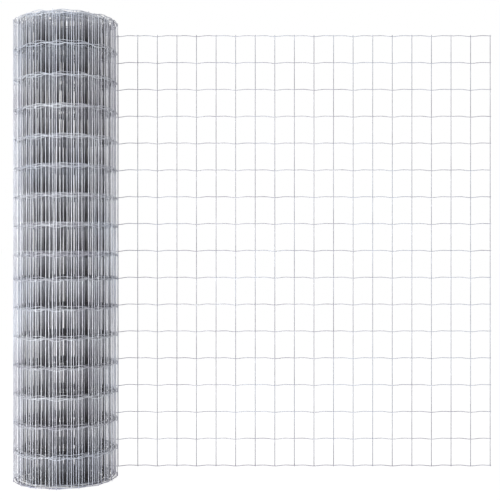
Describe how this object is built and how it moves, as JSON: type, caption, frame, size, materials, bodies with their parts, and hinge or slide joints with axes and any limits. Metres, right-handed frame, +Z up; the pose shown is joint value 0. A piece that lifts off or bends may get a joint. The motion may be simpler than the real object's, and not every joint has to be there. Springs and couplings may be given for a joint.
{
  "type": "roll of wire fencing",
  "caption": "Standing roll of galvanised welded wire fencing with an open core, its free end run out flat from the back of the roll.",
  "frame": {"origin": "axis of the roll, at the floor that it stands on", "axes": "+Z up along the axis of the roll, +X along the flat free end, +Y towards the back of the roll, where the free end leaves it"},
  "size_m": [1.7324, 0.3686, 1.608],
  "materials": {
    "zinc_wire": "galvanised, satin"
  },
  "bodies": {
    "root": {"rolled_mesh": "zinc_wire", "free_end": "zinc_wire"}
  },
  "joints": []
}
